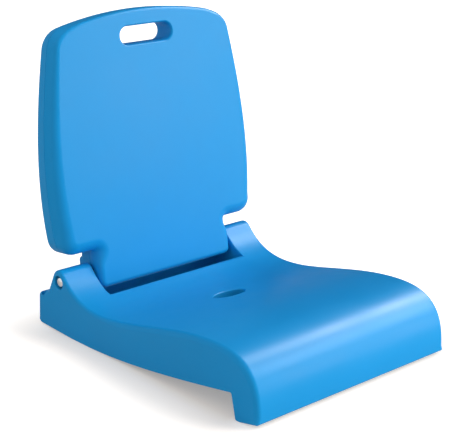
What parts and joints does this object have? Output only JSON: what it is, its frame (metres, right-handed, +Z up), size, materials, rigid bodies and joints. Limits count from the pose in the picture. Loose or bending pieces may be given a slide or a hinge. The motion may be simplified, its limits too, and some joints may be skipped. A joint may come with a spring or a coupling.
{
  "type": "folding floor chair",
  "caption": "Folding floor chair: a dished moulded seat with a down-turned front lip and a backrest with a hand slot, hinged between two knuckles to fold flat.",
  "frame": {"origin": "on the floor, under the middle of the chair's box with the backrest up", "axes": "+Z up; the chair faces -Y; +X is to the right seen from the front and lies along the hinge axis"},
  "size_m": [0.4356, 0.5532, 0.5304],
  "materials": {
    "blue_polypropylene": "bright blue, satin-gloss moulded",
    "plated_steel": "zinc-plated",
    "polished_steel": "polished",
    "dark_acetal": "smooth black",
    "pale_nylon": "natural",
    "black_rubber": "matt"
  },
  "bodies": {
    "seat": {"seat_shell": "blue_polypropylene", "hinge_axle": "plated_steel", "axle_cap_left": "polished_steel", "axle_cap_right": "polished_steel", "knuckle_bush_left": "dark_acetal", "knuckle_bush_right": "dark_acetal", "thrust_washer_left": "pale_nylon", "thrust_washer_right": "pale_nylon", "stop_buffer_left": "black_rubber", "stop_buffer_right": "black_rubber"},
    "backrest": {"backrest_front_shell": "blue_polypropylene", "backrest_rear_shell": "blue_polypropylene", "tongue_bush_left": "dark_acetal", "tongue_bush_right": "dark_acetal", "screw_tongue_left": "plated_steel", "screw_tongue_right": "plated_steel", "screw_shoulder_left": "plated_steel", "screw_shoulder_right": "plated_steel", "screw_side_left": "plated_steel", "screw_side_right": "plated_steel", "screw_upper_left": "plated_steel", "screw_upper_right": "plated_steel", "screw_handle_left": "plated_steel", "screw_handle_right": "plated_steel"}
  },
  "joints": [
    {"name": "backrest_fold", "type": "hinge", "parent": "seat", "child": "backrest", "pos_m": [0, 0.21138, 0.092], "axis": [1, 0, 0], "range_deg": [0, 87]}
  ]
}
